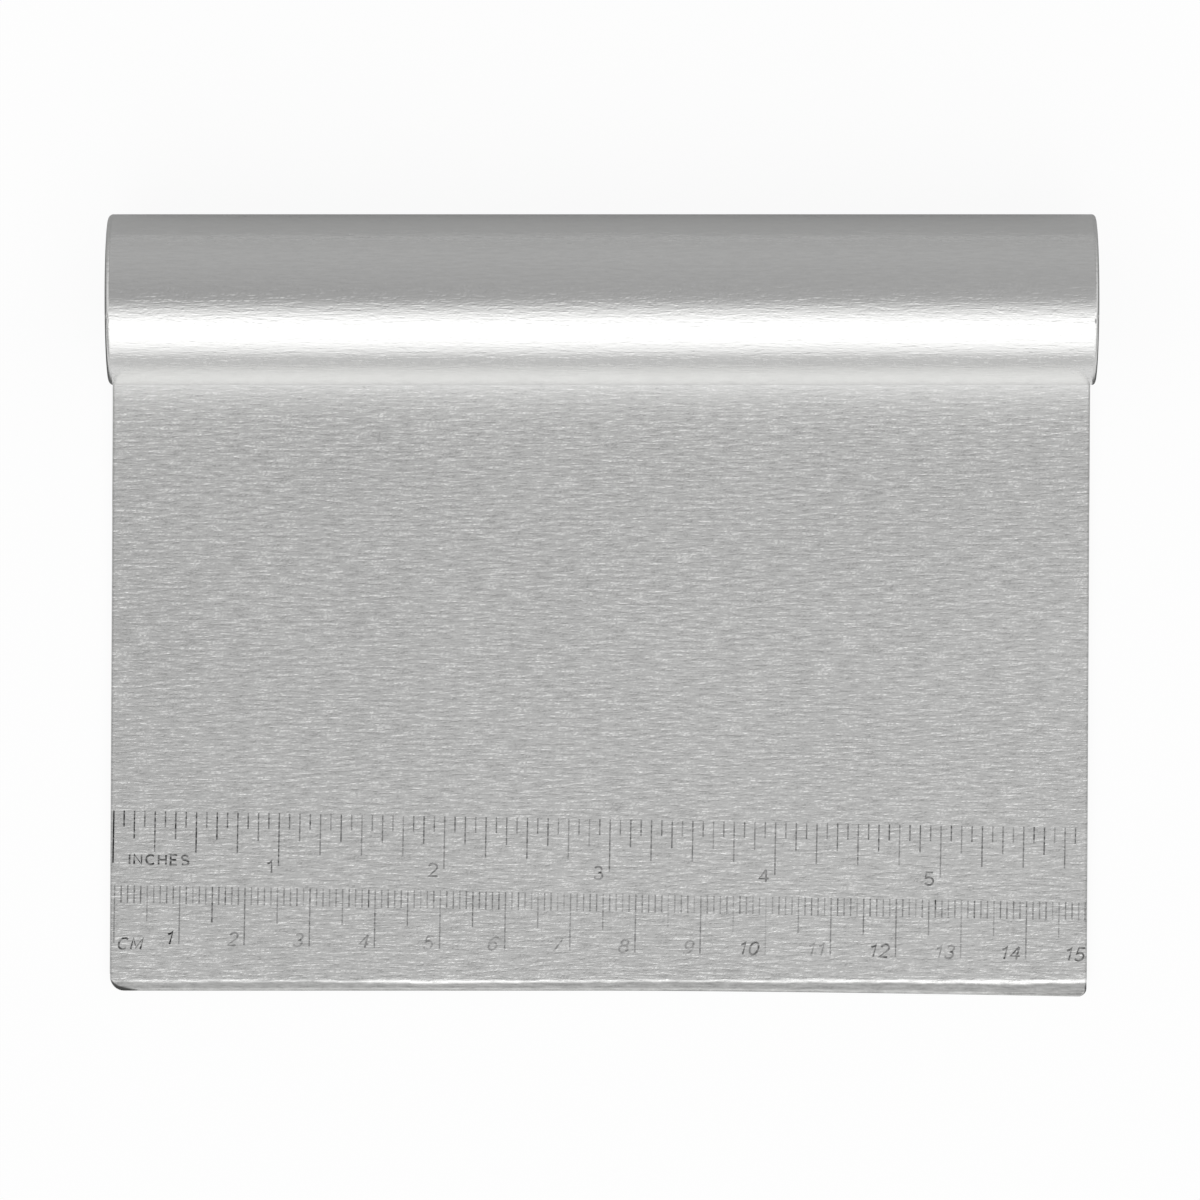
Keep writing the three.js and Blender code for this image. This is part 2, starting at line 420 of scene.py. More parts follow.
def turned_cap(radius, along, mirror):
    """The profile turned round the tube's axis, with one point at each pole. mirror is 1 or -1.
    The brush lines go on from the tube over the rim, and run straight on the flat face."""
    rings = len(radius) - 2
    angle = np.linspace(-math.pi / 2, 1.5 * math.pi, CAP_TURNS + 1)
    ring_radius = np.repeat(radius[1:-1, None], CAP_TURNS, axis=1)
    nick = NICK_DEPTH * np.exp(-((angle[:-1] - NICK_ANGLE) * tube_radius / NICK_WIDTH) ** 2)
    ring_radius[FACE_RINGS:-PLUG_RINGS] -= nick
    down = np.maximum(-np.sin(angle[:-1]), TINY)
    ring_radius[-PLUG_RINGS:] = np.minimum(ring_radius[-PLUG_RINGS:], (axis_z - lip_z) / down)
    ring_x = np.repeat(mirror * along[1:-1, None], CAP_TURNS, axis=1)
    ring_y = axis_y + ring_radius * np.cos(angle[:-1])
    ring_z = axis_z + ring_radius * np.sin(angle[:-1])
    ring_points = np.stack([ring_x, ring_y, ring_z], axis=-1).reshape(-1, 3)
    poles = mirror * along[[0, -1], None] * [1, 0, 0] + [0, axis_y, axis_z]
    points = np.concatenate([ring_points, poles])

    index = np.arange(rings * CAP_TURNS).reshape(rings, CAP_TURNS)
    after = np.roll(index, -1, axis=1)
    quads = np.stack([index[:-1], index[1:], after[1:], after[:-1]], axis=-1)
    pole = np.full(CAP_TURNS, rings * CAP_TURNS)
    near_fan = np.stack([pole, index[0], after[0]], axis=-1)
    far_fan = np.stack([pole + 1, after[-1], index[-1]], axis=-1)

    around = tube_radius * np.stack([angle[:-1], angle[:-1], angle[1:], angle[1:]], axis=-1)
    run = np.cumsum(np.hypot(np.diff(radius), np.diff(along)))[:-1]
    depth = np.stack([run[:-1], run[1:], run[1:], run[:-1]], axis=-1)
    shape = (rings - 1, CAP_TURNS, 4)
    disc = FACE_RINGS - 2
    rim_uv = [np.broadcast_to(around[None], shape), np.broadcast_to(depth[:, None], shape)]
    rim_uv = np.stack(rim_uv, axis=-1)[disc:].reshape(-1, 4, 2)
    flat_uv = points[:, [2, 1]]
    groups = [near_fan, far_fan, quads[:disc].reshape(-1, 4), quads[disc:].reshape(-1, 4)]
    uv_groups = [flat_uv[group] for group in groups[:3]] + [rim_uv]
    way = slice(None, None, mirror)
    return points, [group[:, way] for group in groups], [group[:, way] for group in uv_groups]


cap_discs = []
for cap_name, mirror in (("left", -1), ("right", 1)):
    points, faces, uv_groups = turned_cap(*cap_profile(RIM_RADII[cap_name]), mirror)
    cap = new_piece(cap_name + "_cap_disc", points, faces, uv_groups)
    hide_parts(cap_name + "_end_cap")
    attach(cap, "root")
    cap_discs.append(cap)

# %% [markdown]
# ## Colours and nodes
# Colours are written as the sRGB hex values of a paint program and turned to the linear
# values that the renderer works with. One helper adds a node, sets it and links it, so that
# a finish reads as a short list.

# %% Colour and node helpers


def linear(hex_colour):
    """An sRGB colour such as #C6C5C2 as linear red, green, blue and an alpha of one."""
    srgb = np.array([int(hex_colour[place:place + 2], 16) for place in (1, 3, 5)]) / 255
    channels = np.where(srgb <= 0.04045, srgb / 12.92, ((srgb + 0.055) / 1.055) ** 2.4)
    return (*channels.tolist(), 1.0)


def add_node(tree, kind, settings=None, sockets=None):
    """Adds a node. settings are its attributes. sockets are its inputs, by name or number: a
    value is set, and another node's output is linked."""
    node = tree.nodes.new(kind)
    for name, value in (settings or {}).items():
        setattr(node, name, value)
    for key, value in (sockets or {}).items():
        if isinstance(value, bpy.types.NodeSocket):
            tree.links.new(value, node.inputs[key])
        else:
            node.inputs[key].default_value = value
    return node


def new_material(name):
    """An empty node material, and its tree."""
    material = bpy.data.materials.new(name)
    material.use_nodes = True
    material.node_tree.nodes.clear()
    return material, material.node_tree


print("middle grey is %.3f in linear light" % linear("#808080")[0])

# %% [markdown]
# ## Brushed stainless steel
# The sheet is austenitic stainless, drawn under an abrasive belt along its width. The belt
# leaves fine grooves, so a highlight spreads across them and stays short along them. The
# eye sees that as a satin sheen with small bright and dark dashes.
# The spread is the shader's anisotropy, and its tangent follows U, across the grooves. The
# dashes are a noise of long straight grooves, times a second noise that cuts them short. They
# tilt the surface through bump. On the sheet they also change its colour, because dull oxide
# stays in the grooves. The tube was polished finer, so there it is nearly all tilt, and it
# looks smooth wherever the light is even.
# Real grooves from a belt of grit 180 lie about 0.08 mm apart. That is half a pixel here, so
# they are drawn several times as coarse, just wide enough to show.

# %% The brushed pattern
SHEET_GRAIN = {
    "across": 0.45 * MM, "along": 3.6 * MM, "dash": 0.48 * MM, "depth": 0.075 * MM, "fine": 2.0}
TUBE_GRAIN = {
    "across": 0.45 * MM, "along": 3.2 * MM, "dash": 0.7 * MM, "depth": 0.06 * MM, "fine": 1.0}
GROOVE_HARSH = 0.75
DASH_HARSH = 0.6
DASH_LIMITS = (0.35, 0.65)
NOISE_MIDDLE = 0.5
OXIDE_REACH = 0.1
CLOUD = 28 * MM
CLOUD_FINE = 2.0
CLOUD_HARSH = 0.5
CLOUD_LIMITS = (0.3, 0.7)
CLOUD_DEPTH = 0.06
BRUSHED_ANISOTROPY = 0.8


def brushed_surface(tree, light, dark, grain, roughness, left=1.0):
    """Colour, roughness, normal and tangent of brushed sheet, from the UV map in metres, and the
    pattern by itself. The height is a noise of long straight grooves, times a noise that cuts
    them into short dashes, times the share of them that is left."""
    uv = add_node(tree, "ShaderNodeUVMap", {"uv_map": "brush"}).outputs[0]
    noises = []
    for across, along, fine, harsh in (
            (grain["across"], grain["along"], grain["fine"], GROOVE_HARSH),
            (grain["across"], grain["dash"], grain["fine"], DASH_HARSH),
            (CLOUD, CLOUD, CLOUD_FINE, CLOUD_HARSH)):
        place = add_node(tree, "ShaderNodeMapping", None, {
            "Vector": uv, "Scale": (1 / across, 1 / along, 1)})
        noise = add_node(tree, "ShaderNodeTexNoise", {"noise_dimensions": "2D"}, {
            "Vector": place.outputs[0], "Scale": 1.0, "Detail": fine, "Roughness": harsh})
        noises.append(noise.outputs[0])
    groove, dash, cloud = noises
    above = add_node(tree, "ShaderNodeMath", {"operation": "SUBTRACT"}, {
        0: groove, 1: NOISE_MIDDLE})
    cut = add_node(tree, "ShaderNodeMapRange", None, {
        "Value": dash, "From Min": DASH_LIMITS[0], "From Max": DASH_LIMITS[1]})
    dashed = add_node(tree, "ShaderNodeMath", {"operation": "MULTIPLY"}, {
        0: above.outputs[0], 1: cut.outputs[0]})
    height = add_node(tree, "ShaderNodeMath", {"operation": "MULTIPLY"}, {
        0: dashed.outputs[0], 1: left}).outputs[0]
    bump = add_node(tree, "ShaderNodeBump", None, {
        "Height": height, "Distance": grain["depth"], "Strength": 1.0})
    oxide = add_node(tree, "ShaderNodeMapRange", None, {
        "Value": height, "From Min": -OXIDE_REACH, "From Max": OXIDE_REACH})
    colour = add_node(tree, "ShaderNodeMix", {"data_type": "RGBA"}, {
        "Factor": oxide.outputs[0], 6: linear(dark), 7: linear(light)})
    rough = add_node(tree, "ShaderNodeMapRange", None, {
        "Value": cloud, "From Min": CLOUD_LIMITS[0], "From Max": CLOUD_LIMITS[1],
        "To Min": (1 - CLOUD_DEPTH) * roughness, "To Max": (1 + CLOUD_DEPTH) * roughness})
    tangent = add_node(tree, "ShaderNodeTangent", {"direction_type": "UV_MAP", "uv_map": "brush"})
    surface = {"Base Color": colour.outputs[2], "Roughness": rough.outputs[0],
               "Normal": bump.outputs[0], "Tangent": tangent.outputs[0]}
    return surface, oxide.outputs[0]


def finish_steel(tree, surface):
    """Ends a brushed steel finish: a metal shader with these inputs, joined to the output."""
    shader = add_node(tree, "ShaderNodeBsdfPrincipled", None, {
        "Metallic": 1.0, "Anisotropic": BRUSHED_ANISOTROPY, **surface})
    add_node(tree, "ShaderNodeOutputMaterial", None, {"Surface": shader.outputs[0]})


print("grooves %.2f mm apart" % (SHEET_GRAIN["across"] / MM))

# %% The blade's steel
SHEET_LIGHT = "#EBEBEA"
SHEET_DARK = "#C3C3C2"
SHEET_ROUGHNESS = 0.215
PRESSED_GROOVES = 0.45
# How far the strip by the handle is painted lighter, as painted bounce light from the tube.
PAINTED_BOUNCE_LIGHT = 0.25
# The bevel's two colours are painted shade, darker than the sheet; its roughness is real.
GROUND_SHADE_LIGHT = "#ABABAA"
GROUND_SHADE_DARK = "#8E8E8D"
GROUND_ROUGHNESS = 0.42
# Painted shade for the sides and the sanded corners.
EDGE_SHADE_DARK = "#454544"

# A pale satin with small dashes. The strip by the handle is smoother, and painted brighter as
# painted bounce light from the tube. The bevel is a coarser grind, painted darker as painted
# shade. The sides and sanded corners are painted nearly black as painted shade.
brushed_steel, tree = new_material("brushed_stainless_sheet")
pressed_and_lit = add_node(tree, "ShaderNodeAttribute", {"attribute_name": "pressed_and_lit"}).outputs["Fac"]
left = add_node(tree, "ShaderNodeMapRange", None, {
    "Value": pressed_and_lit, "To Min": 1.0, "To Max": PRESSED_GROOVES}).outputs[0]
surface, streak = brushed_surface(
    tree, SHEET_LIGHT, SHEET_DARK, SHEET_GRAIN, SHEET_ROUGHNESS, left)
# Painted bounce light: the strip by the handle is mixed towards the light colour.
painted_bounce = add_node(tree, "ShaderNodeMath", {"operation": "MULTIPLY"}, {
    0: pressed_and_lit, 1: PAINTED_BOUNCE_LIGHT}).outputs[0]
# The bevel is mixed here towards its painted shade colours.
ground_and_shade = add_node(tree, "ShaderNodeAttribute", {"attribute_name": "ground_and_shade"}).outputs["Fac"]
ground_shade_colour = add_node(tree, "ShaderNodeMix", {"data_type": "RGBA"}, {
    "Factor": streak, 6: linear(GROUND_SHADE_DARK), 7: linear(GROUND_SHADE_LIGHT)}).outputs[2]
# Painted shade: nearly black along the sides and on the sanded corners.
edge_shade = add_node(tree, "ShaderNodeAttribute", {"attribute_name": "edge_shade"}).outputs["Fac"]
for share, colour in (
        (painted_bounce, linear(SHEET_LIGHT)), (ground_and_shade, ground_shade_colour), (edge_shade, linear(EDGE_SHADE_DARK))):
    surface["Base Color"] = add_node(tree, "ShaderNodeMix", {"data_type": "RGBA"}, {
        "Factor": share, 6: surface["Base Color"], 7: colour}).outputs[2]
surface["Roughness"] = add_node(tree, "ShaderNodeMix", None, {
    "Factor": ground_and_shade, 2: surface["Roughness"], 3: GROUND_ROUGHNESS}).outputs[0]
finish_steel(tree, surface)
blade_sheet.data.materials.append(brushed_steel)
print("made", brushed_steel.name)

# %% The tube's steel
TUBE_LIGHT = "#D7D7D6"
TUBE_DARK = "#D2D2D1"
TUBE_ROUGHNESS = 0.14

# The tube gives the eye one clear bright band, because it is smoother than the sheet.
tube_steel, tree = new_material("brushed_stainless_tube")
surface = brushed_surface(tree, TUBE_LIGHT, TUBE_DARK, TUBE_GRAIN, TUBE_ROUGHNESS)[0]
finish_steel(tree, surface)
handle_roll.data.materials.append(tube_steel)
print("made", tube_steel.name)

# %% [markdown]
# ## Caps and welds
# The caps are of the same steel, brushed like the tube: the lines run on over the rim, and
# straight across the disc. Their satin is as rough as the sheet's. The weld nuggets inside the
# joint are cast metal: dull, a little darker and grainy. They hardly show, but they are there
# when the joint is looked into from the side.

# %% The caps' steel
CAP_LIGHT = "#D4D4D3"
CAP_DARK = "#CACAC9"

# A soft satin: the disc looks plain, and its rim catches one line of light.
cap_steel, tree = new_material("buffed_stainless_cap")
surface = brushed_surface(tree, CAP_LIGHT, CAP_DARK, TUBE_GRAIN, SHEET_ROUGHNESS)[0]
finish_steel(tree, surface)
for cap in cap_discs:
    cap.data.materials.append(cap_steel)
print("satin on %d caps" % len(cap_discs))

# %% The weld metal
WELD_LIGHT = "#B0AEAB"
WELD_DARK = "#8C8A88"
WELD_GRAIN = 0.25 * MM
WELD_FINE = 2.0
WELD_DEPTH = 0.02 * MM
WELD_ROUGHNESS = 0.45

# Dull and grainy, with no brush lines.
weld_steel, tree = new_material("spot_weld_metal")
place = add_node(tree, "ShaderNodeTexCoord").outputs["Object"]
grain = add_node(tree, "ShaderNodeTexNoise", None, {
    "Vector": place, "Scale": 1 / WELD_GRAIN, "Detail": WELD_FINE}).outputs[0]
tint = add_node(tree, "ShaderNodeMix", {"data_type": "RGBA"}, {
    "Factor": grain, 6: linear(WELD_DARK), 7: linear(WELD_LIGHT)})
bump = add_node(tree, "ShaderNodeBump", None, {"Height": grain, "Distance": WELD_DEPTH})
shader = add_node(tree, "ShaderNodeBsdfPrincipled", None, {
    "Base Color": tint.outputs[2], "Metallic": 1.0, "Roughness": WELD_ROUGHNESS,
    "Normal": bump.outputs[0]})
add_node(tree, "ShaderNodeOutputMaterial", None, {"Surface": shader.outputs[0]})
welds = [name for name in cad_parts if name.startswith("spot_weld")]
for name in welds:
    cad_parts[name].data.materials.clear()
    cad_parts[name].data.materials.append(weld_steel)
print("weld metal on %d nuggets" % len(welds))

# %% [markdown]
# ## The two scales
# An inch scale and a centimetre scale are etched into the face: a dark oxide in shallow
# lines, put on with a stencil that sat a little askew. Lines this thin could be drawn by a
# material, but then they would have no mesh of their own. Here every line is a small closed
# bar, and all bars of a scale are one array.

# %% A scale's bars
MARK_SUNK = 0.02 * MM
MARK_PROUD = 0.01 * MM
TICK_WIDTH = 0.23 * MM
SCALE_TILT = math.radians(-1.04)
BAR_CORNERS = np.array([[x, y, z] for z in (0, 1) for y in (0, 1) for x in (-1, 1)])
BAR_FACES = np.array([
    [0, 2, 3, 1], [4, 5, 7, 6], [0, 1, 5, 4], [2, 6, 7, 3], [0, 4, 6, 2], [1, 3, 7, 5]])


def on_scale(zero, along, above):
    """Places on a scale: along its line of tick tops, and above it, turned by its tilt."""
    cos, sin = math.cos(SCALE_TILT), math.sin(SCALE_TILT)
    return zero[0] + along * cos - above * sin, zero[1] + along * sin + above * cos


def bars(zero, along, lengths):
    """Points and quads of one closed bar a tick: eight corners each, from the tick's place
    along the scale, half its width to either side, its length down and the mark's thickness."""
    side, end, top = BAR_CORNERS.T
    across = along[:, None] + side * TICK_WIDTH / 2
    above = -lengths[:, None] * (1 - end)
    x, y = on_scale(zero, across, above)
    z = np.broadcast_to(BLADE_GAUGE + np.where(top > 0, MARK_PROUD, -MARK_SUNK), x.shape)
    first = len(BAR_CORNERS) * np.arange(len(along))
    quads = first[:, None, None] + BAR_FACES
    return np.stack([x, y, z], axis=-1).reshape(-1, 3), quads.reshape(-1, 4)


print("the scales lean by %.2f degrees" % math.degrees(SCALE_TILT))

# %% The ticks
INCH = 25.4 * MM
CENTIMETRE = 10 * MM
TICKS_AN_INCH = 16
INCH_TICKS = 94
INCH_TICK_LENGTHS = np.array([8.05, 6.25, 4.25, 2.45]) * MM
CENTIMETRE_TICKS = 150
CENTIMETRE_TICK_LENGTHS = np.array([8.9, 5.5, 2.75]) * MM
inch_zero = np.array([-74.9, 27.98]) * MM + [0, edge_y]
centimetre_zero = np.array([-74.77, 16.54]) * MM + [0, edge_y]
sixteenth = np.arange(INCH_TICKS)
inch_lengths = np.select(
    [sixteenth % TICKS_AN_INCH == 0, sixteenth % 4 == 0, sixteenth % 2 == 0],
    INCH_TICK_LENGTHS[:-1], INCH_TICK_LENGTHS[-1])
millimetre = np.arange(CENTIMETRE_TICKS)
centimetre_lengths = np.select(
    [millimetre % 10 == 0, millimetre % 5 == 0],
    CENTIMETRE_TICK_LENGTHS[:-1], CENTIMETRE_TICK_LENGTHS[-1])
inch_bars = bars(inch_zero, sixteenth * INCH / TICKS_AN_INCH, inch_lengths)
centimetre_bars = bars(centimetre_zero, millimetre * MM, centimetre_lengths)
print("%d inch ticks, %d centimetre ticks" % (INCH_TICKS, CENTIMETRE_TICKS))

# %% [markdown]
# ## The figures
# Figures on a scale like this come from a routed stencil, so every stroke is as wide as the
# cutter. A filled font would give thick and thin strokes. Here each figure is a few lines and
# arcs on a grid one unit high, and a small rectangle is carried along each of them.

# %% The strokes of the figures
STROKE_WIDTH = 0.3 * MM
ARC_STEPS = 12


def arc(x, y, wide, high, first, last):
    """Points on an ellipse round x, y, from the first angle to the last one, in degrees."""
    angle = np.radians(np.linspace(first, last, ARC_STEPS))
    return [*zip(x + wide * np.cos(angle), y + high * np.sin(angle))]


SIX = [arc(0.46, 0.42, 0.44, 0.58, 62, 180), arc(0.34, 0.31, 0.32, 0.31, 176, -184)]
STROKES = {
    "0": [arc(0.34, 0.5, 0.34, 0.5, 95, 455)],
    "1": [[(0, 0.76), (0.2, 0.83), (0.33, 1), (0.33, 0)]],
    "2": [arc(0.32, 0.7, 0.31, 0.3, 165, -28) + [(0.02, 0), (0.68, 0)]],
    "3": [arc(0.31, 0.755, 0.27, 0.245, 155, -80) + arc(0.31, 0.265, 0.33, 0.265, 80, -155)],
    "4": [[(0.5, 1), (0, 0.28), (0.72, 0.28)], [(0.5, 1), (0.5, 0)]],
    "5": [[(0.62, 1), (0.13, 1), (0.05, 0.53)] + arc(0.31, 0.31, 0.34, 0.31, 125, -150)],
    "6": SIX,
    "7": [[(0, 1), (0.66, 1), (0.2, 0)]],
    "8": [arc(0.34, 0.76, 0.28, 0.24, 95, 455), arc(0.34, 0.27, 0.34, 0.27, 95, 455)],
    "9": [[(0.68 - x, 1 - y) for x, y in path] for path in SIX],
    "C": [arc(0.44, 0.5, 0.44, 0.5, 48, 312)],
    "E": [[(0.6, 1), (0, 1), (0, 0), (0.6, 0)], [(0, 0.52), (0.55, 0.52)]],
    "H": [[(0, 0), (0, 1)], [(0.68, 0), (0.68, 1)], [(0, 0.52), (0.68, 0.52)]],
    "I": [[(0, 0), (0, 1)]],
    "M": [[(0, 0), (0, 1), (0.42, 0.15), (0.84, 1), (0.84, 0)]],
    "N": [[(0, 0), (0, 1), (0.68, 0), (0.68, 1)]],
    "S": [arc(0.32, 0.75, 0.3, 0.25, 30, 255) + arc(0.32, 0.25, 0.33, 0.25, 75, -150)],
}
print("strokes of %d figures and letters" % len(STROKES))

# %% A figure's bars
FIGURE_GAP = 0.44
STROKE_LAYER = 0.001 * MM
LONGEST_MITRE = 1.5


def stroke_bar(path, layer):
    """A rectangle carried along a path: at each point two corners to the left and two to the
    right of the path's direction, half a stroke away, and longer by the mitre at a bend."""
    ahead = np.diff(path, axis=0)
    ahead = ahead / np.linalg.norm(ahead, axis=1, keepdims=True)
    before = np.concatenate([ahead[:1], ahead])
    after = np.concatenate([ahead, ahead[-1:]])
    middle = before + after
    middle = middle / np.linalg.norm(middle, axis=1, keepdims=True)
    mitre = 1 / np.maximum((middle * after).sum(axis=1), 1 / LONGEST_MITRE)
    reach = (mitre * STROKE_WIDTH / 2)[:, None]
    sideways = np.stack([-middle[:, 1], middle[:, 0]], axis=-1) * reach
    top = np.full((len(path), 1), BLADE_GAUGE + MARK_PROUD + layer * STROKE_LAYER)
    bottom = np.full((len(path), 1), BLADE_GAUGE - MARK_SUNK)
    left, right = path + sideways, path - sideways
    ring = [(left, top), (left, bottom), (right, bottom), (right, top)]
    points = np.stack([np.hstack(corner) for corner in ring], axis=1).reshape(-1, 3)
    index = np.arange(len(points)).reshape(-1, 4)
    turned = np.roll(index, -1, axis=1)
    walls = np.stack([index[:-1], index[1:], turned[1:], turned[:-1]], axis=-1).reshape(-1, 4)
    return points, np.concatenate([walls, index[:1], index[-1:, ::-1]])


def figure(text, height, wide, slant):
    """Points and quads of a text: its strokes one after the other, scaled to the height, made
    wide and leaning by the slant, with the text's right end and foot at zero."""
    scale = (height - STROKE_WIDTH) * np.array([wide, 1])
    shapes = []
    start = 0
    for letter in text:
        paths = [np.array(path) + [start, 0] for path in STROKES[letter]]
        shapes += [path * scale + STROKE_WIDTH / 2 for path in paths]
        start = max(path[:, 0].max() for path in paths) + FIGURE_GAP
    shapes = [path + path[:, 1:] * [slant, 0] for path in shapes]
    bars_made = [stroke_bar(path, layer) for layer, path in enumerate(shapes)]
    offsets = np.cumsum([0] + [len(points) for points, _ in bars_made])
    points = np.concatenate([points for points, _ in bars_made])
    quads = np.concatenate([group + offset for (_, group), offset in zip(bars_made, offsets)])
    return points - [points[:, 0].max(), 0, 0], quads


def place_figure(shape, zero, place):
    """A figure moved to its place on a scale, along it and above it, and turned with it."""
    points, quads = shape
    x, y = on_scale(zero, place[0] + points[:, 0], place[1] + points[:, 1])
    return np.stack([x, y, points[:, 2]], axis=-1), quads


print("strokes %.2f mm wide" % (STROKE_WIDTH / MM))

# %% The figures
OBLIQUE = math.tan(math.radians(14))
LAST_INCH = 5
LAST_CENTIMETRE = 15
INCH_FIGURE = {"height": 2.22 * MM, "wide": 1.05, "slant": 0}
INCH_FIGURE_PLACE = np.array([-0.9, -9.33]) * MM
CENTIMETRE_FIGURE = {"height": 2.25 * MM, "wide": 1.0, "slant": OBLIQUE}
CENTIMETRE_FIGURE_PLACE = np.array([-0.85, -9.08]) * MM
INCH_WORD = {"height": 1.76 * MM, "wide": 1.12, "slant": 0}
INCH_WORD_PLACE = np.array([11.75, -8.32]) * MM
CENTIMETRE_WORD = {"height": 2 * MM, "wide": 1.03, "slant": OBLIQUE}
CENTIMETRE_WORD_PLACE = np.array([4.6, -9.95]) * MM
inch_figures = [
    place_figure(figure(str(n), **INCH_FIGURE), inch_zero, INCH_FIGURE_PLACE + [n * INCH, 0])
    for n in range(1, LAST_INCH + 1)]
centimetre_figures = [
    place_figure(figure(str(n), **CENTIMETRE_FIGURE), centimetre_zero,
                 CENTIMETRE_FIGURE_PLACE + [n * CENTIMETRE, 0])
    for n in range(1, LAST_CENTIMETRE + 1)]
unit_words = [
    place_figure(figure("INCHES", **INCH_WORD), inch_zero, INCH_WORD_PLACE),
    place_figure(figure("CM", **CENTIMETRE_WORD), centimetre_zero, CENTIMETRE_WORD_PLACE)]
print("%d figures and %d words" % (len(inch_figures) + len(centimetre_figures), len(unit_words)))

# %% The marks' strength
LEVEL_PLACES = [0, 0.08, 0.2, 0.6, 1]
TICK_UNEVEN = 0.12
TICK_LIMITS = (0.1, 1.2)


def tick_strength(count, first, levels, seed):
    """Etching along a scale: the first tick by itself, then levels at five places along the
    scale with straight lines between them, and unevenness tick by tick."""
    level = np.interp(np.linspace(0, 1, count), LEVEL_PLACES, levels)
    uneven = np.random.default_rng(seed).normal(0, TICK_UNEVEN, count)
    strength = np.clip(level + uneven, *TICK_LIMITS)
    strength[0] = first
    return np.repeat(strength, len(BAR_CORNERS))


def figure_strength(shapes, levels):
    """One strength for each figure, repeated for its points."""
    return [np.full(len(points), level) for (points, _), level in zip(shapes, levels)]


FIRST_INCH_TICK = 1.8
FIRST_CENTIMETRE_TICK = 0.6
INCH_SEED = 11
CENTIMETRE_SEED = 12
INCH_TICK_LEVELS = [0.95, 0.95, 0.76, 0.65, 0.75]
CENTIMETRE_TICK_LEVELS = [0.65, 0.65, 0.6, 0.5, 0.65]
INCH_LEVELS = [0.85, 0.72, 0.68, 0.8, 0.85]
CENTIMETRE_LEVELS = [
    1.4, 0.68, 0.45, 0.72, 0.5, 0.48, 0.55, 0.5, 0.5, 0.8, 0.58, 0.85, 0.62, 0.9, 0.95]
WORD_LEVELS = [1.05, 0.95]
inch_strengths = tick_strength(INCH_TICKS, FIRST_INCH_TICK, INCH_TICK_LEVELS, INCH_SEED)
centimetre_strengths = tick_strength(
    CENTIMETRE_TICKS, FIRST_CENTIMETRE_TICK, CENTIMETRE_TICK_LEVELS, CENTIMETRE_SEED)
figure_strengths = figure_strength(centimetre_figures, CENTIMETRE_LEVELS)
print("mean strength of the inch ticks %.2f" % inch_strengths.mean())

# %% The marks' meshes


def mark_piece(name, shapes, strengths):
    """One piece from several meshes, each with its strength of etching, kept as an attribute."""
    starts = np.cumsum([0] + [len(points) for points, _ in shapes])
    points = np.concatenate([points for points, _ in shapes])
    faces = np.concatenate([group + start for (_, group), start in zip(shapes, starts)])
    piece = new_piece(name, points, [faces], [points[:, [1, 0]][faces]])
    etched = piece.data.attributes.new("etched", "FLOAT", "POINT")
    etched.data.foreach_set("value", np.concatenate(strengths).astype(np.float32))
    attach(piece, "root")
    return piece


marks = [
    mark_piece("inch_ticks", [inch_bars], [inch_strengths]),
    mark_piece("centimetre_ticks", [centimetre_bars], [centimetre_strengths]),
    mark_piece("inch_figures", inch_figures, figure_strength(inch_figures, INCH_LEVELS)),
    mark_piece("centimetre_figures", centimetre_figures, figure_strengths),
    mark_piece("unit_words", unit_words, figure_strength(unit_words, WORD_LEVELS)),
]

# %% [markdown]
# ## The etched finish
# Etching leaves a dark oxide in the metal. The same belt has rubbed over it, so pale brush
# streaks cut through the lines, and where the etch was weak little of it is left. The marks
# use the sheet's own grooves, and only the colour changes.

# %% The etched marks
ETCH_DARK = "#2A2A2B"
ETCH_PATCH = 1.1 * MM
ETCH_FINE = 2.0
ETCH_LIMITS = (0.3, 0.65)
LEAST_ETCH = 0.45

# Nearly black where the etch held, and grey where the belt rubbed it thin.
etched_steel, tree = new_material("etched_stainless")
surface = brushed_surface(tree, SHEET_LIGHT, SHEET_DARK, SHEET_GRAIN, SHEET_ROUGHNESS)[0]
uv = add_node(tree, "ShaderNodeUVMap", {"uv_map": "brush"}).outputs[0]
patch = add_node(tree, "ShaderNodeMapping", None, {
    "Vector": uv, "Scale": (1 / SHEET_GRAIN["across"], 1 / ETCH_PATCH, 1)})
belt = add_node(tree, "ShaderNodeTexNoise", {"noise_dimensions": "2D"}, {
    "Vector": patch.outputs[0], "Scale": 1.0, "Detail": ETCH_FINE})
streaks = add_node(tree, "ShaderNodeMapRange", None, {
    "Value": belt.outputs[0], "From Min": ETCH_LIMITS[0], "From Max": ETCH_LIMITS[1],
    "To Min": 1.0, "To Max": LEAST_ETCH})
etched = add_node(tree, "ShaderNodeAttribute", {"attribute_name": "etched"})
ink = add_node(tree, "ShaderNodeMath", {"operation": "MULTIPLY", "use_clamp": True}, {
    0: streaks.outputs[0], 1: etched.outputs["Fac"]})
surface["Base Color"] = add_node(tree, "ShaderNodeMix", {"data_type": "RGBA"}, {
    "Factor": ink.outputs[0], 6: surface["Base Color"], 7: linear(ETCH_DARK)}).outputs[2]
finish_steel(tree, surface)
for piece in marks:
    piece.data.materials.append(etched_steel)
print("etched marks on %d pieces" % len(marks))

# %% [markdown]
# ## The stage
# The floor is plain white paper. Part of its brightness is its own, for rays from the camera
# and for reflections, so it looks white and still takes the soft shadow.
# Four grey cards lie round the scraper, and only reflections see them. They are painted shade:
# in reflections they stand in for the floor's shadow round the scraper, so that the tube's rim
# keeps a dark edge against white paper. The one in front is nearly white, and only takes the
# glare off the tube's lower side.

# %% The floor
FLOOR_HALF = 3.0
FLOOR_DROP = 0.05 * MM
PAPER = "#FBFBFB"
WHITE = "#FFFFFF"
PAPER_OWN_LIGHT = 0.9


